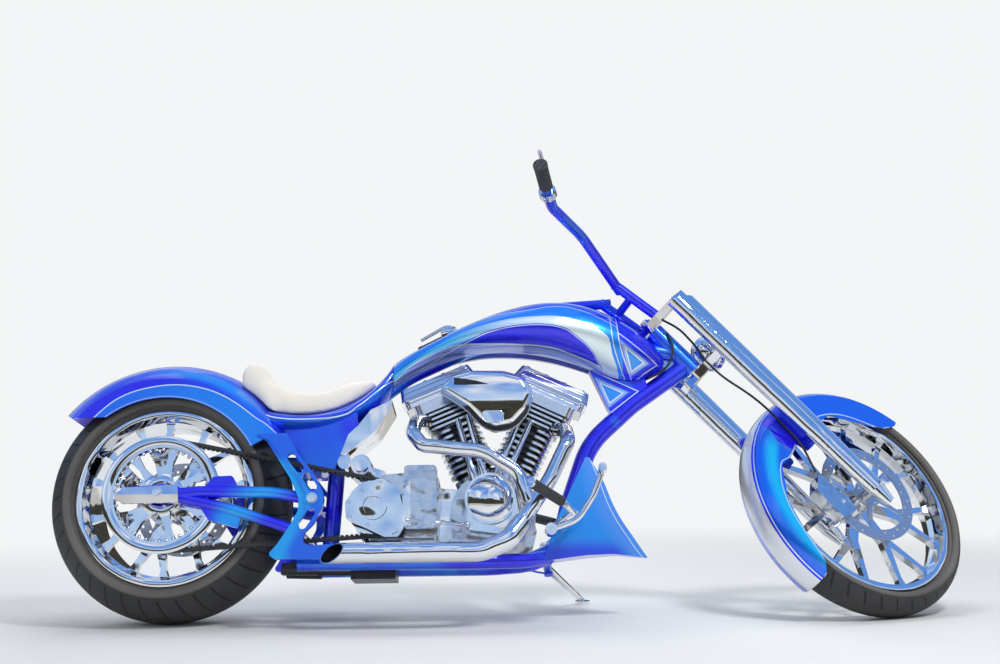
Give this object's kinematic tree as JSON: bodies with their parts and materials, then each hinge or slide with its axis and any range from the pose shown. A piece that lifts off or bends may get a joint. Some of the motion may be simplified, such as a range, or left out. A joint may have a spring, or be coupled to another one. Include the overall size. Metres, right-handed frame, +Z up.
{
  "type": "chopper motorcycle",
  "caption": "Long raked chopper with a V engine, stretched tank, wide belt-driven rear wheel and tall narrow front wheel, leaning on its side stand.",
  "frame": {"origin": "on the floor, under the middle of the parked object's box", "axes": "+X forward along the chassis, +Y to the rider's left, +Z up from the floor"},
  "size_m": [2.7762, 0.7676, 1.3531],
  "materials": {
    "painted_metal_blue": "candy blue gloss paint",
    "chrome": "polished",
    "polished_aluminium": "polished",
    "cast_aluminium": "satin casting",
    "brushed_steel": "brushed",
    "cream_leather": "stitched leather",
    "tyre_rubber": "moulded",
    "black_rubber": "moulded",
    "black_metal": "black paint",
    "red_lens": "clear red"
  },
  "bodies": {
    "chassis": {"air_cleaner": "chrome", "axle_covers": "chrome", "belly_fin": "painted_metal_blue", "belt_cover": "chrome", "cam_cover": "chrome", "carburettor": "cast_aluminium", "crankcase": "cast_aluminium", "cylinder_front": "cast_aluminium", "cylinder_rear": "cast_aluminium", "drive_belt": "black_rubber", "drive_pulley": "chrome", "electrics_box": "black_metal", "exhaust_front": "chrome", "exhaust_rear": "chrome", "foot_controls": "chrome", "frame_backbone": "painted_metal_blue", "frame_down_tube": "painted_metal_blue", "frame_lower_rails": "painted_metal_blue", "fuel_tank": "painted_metal_blue", "muffler_tip": "black_metal", "neck_cable": "black_rubber", "oil_tank": "painted_metal_blue", "oil_tank_shield": "chrome", "peg_rubbers": "black_rubber", "primary_cover": "chrome", "pushrod_tubes": "chrome", "rear_axle": "chrome", "rear_caliper": "polished_aluminium", "rear_fender": "painted_metal_blue", "rocker_boxes": "chrome", "seat": "cream_leather", "seat_shell": "painted_metal_blue", "shock_absorbers": "black_metal", "side_plates": "painted_metal_blue", "starter_motor": "chrome", "swingarm": "painted_metal_blue", "tail_lamp": "red_lens", "transmission": "cast_aluminium"},
    "rear_wheel": {"rear_tyre": "tyre_rubber", "rear_rim": "chrome", "rear_pulley": "chrome", "rear_disc": "brushed_steel"},
    "fork": {"upper_clamp": "chrome", "lower_clamp": "chrome", "fork_legs": "chrome", "handlebar": "painted_metal_blue", "grips": "black_rubber", "bar_controls": "chrome", "headlamp": "chrome", "front_fender": "painted_metal_blue", "fender_brackets": "painted_metal_blue", "front_caliper": "polished_aluminium", "front_axle": "chrome", "brake_hose": "black_rubber"},
    "front_wheel": {"front_tyre": "tyre_rubber", "front_rim": "chrome", "front_disc": "brushed_steel"},
    "side_stand": {"side_stand": "chrome"}
  },
  "joints": [
    {"name": "rear_wheel_spin", "type": "hinge", "parent": "chassis", "child": "rear_wheel", "pos_m": [-1.02911, 0.02769, 0.35591], "axis": [0, 0.982, -0.1891], "continuous": true},
    {"name": "steering", "type": "hinge", "parent": "chassis", "child": "fork", "pos_m": [0.49989, 0.11524, 0.81056], "axis": [-0.6871, 0.1374, 0.7135], "range_deg": [-66.6, 0]},
    {"name": "front_wheel_spin", "type": "hinge", "parent": "fork", "child": "front_wheel", "pos_m": [1.04352, 0.06192, 0.32459], "axis": [-0.3989, 0.7494, -0.5285], "continuous": true},
    {"name": "stand_fold", "type": "hinge", "parent": "chassis", "child": "side_stand", "pos_m": [0.10189, 0.08788, 0.13963], "axis": [-0.1247, 0.4727, 0.8724], "range_deg": [0, 97.8]}
  ]
}
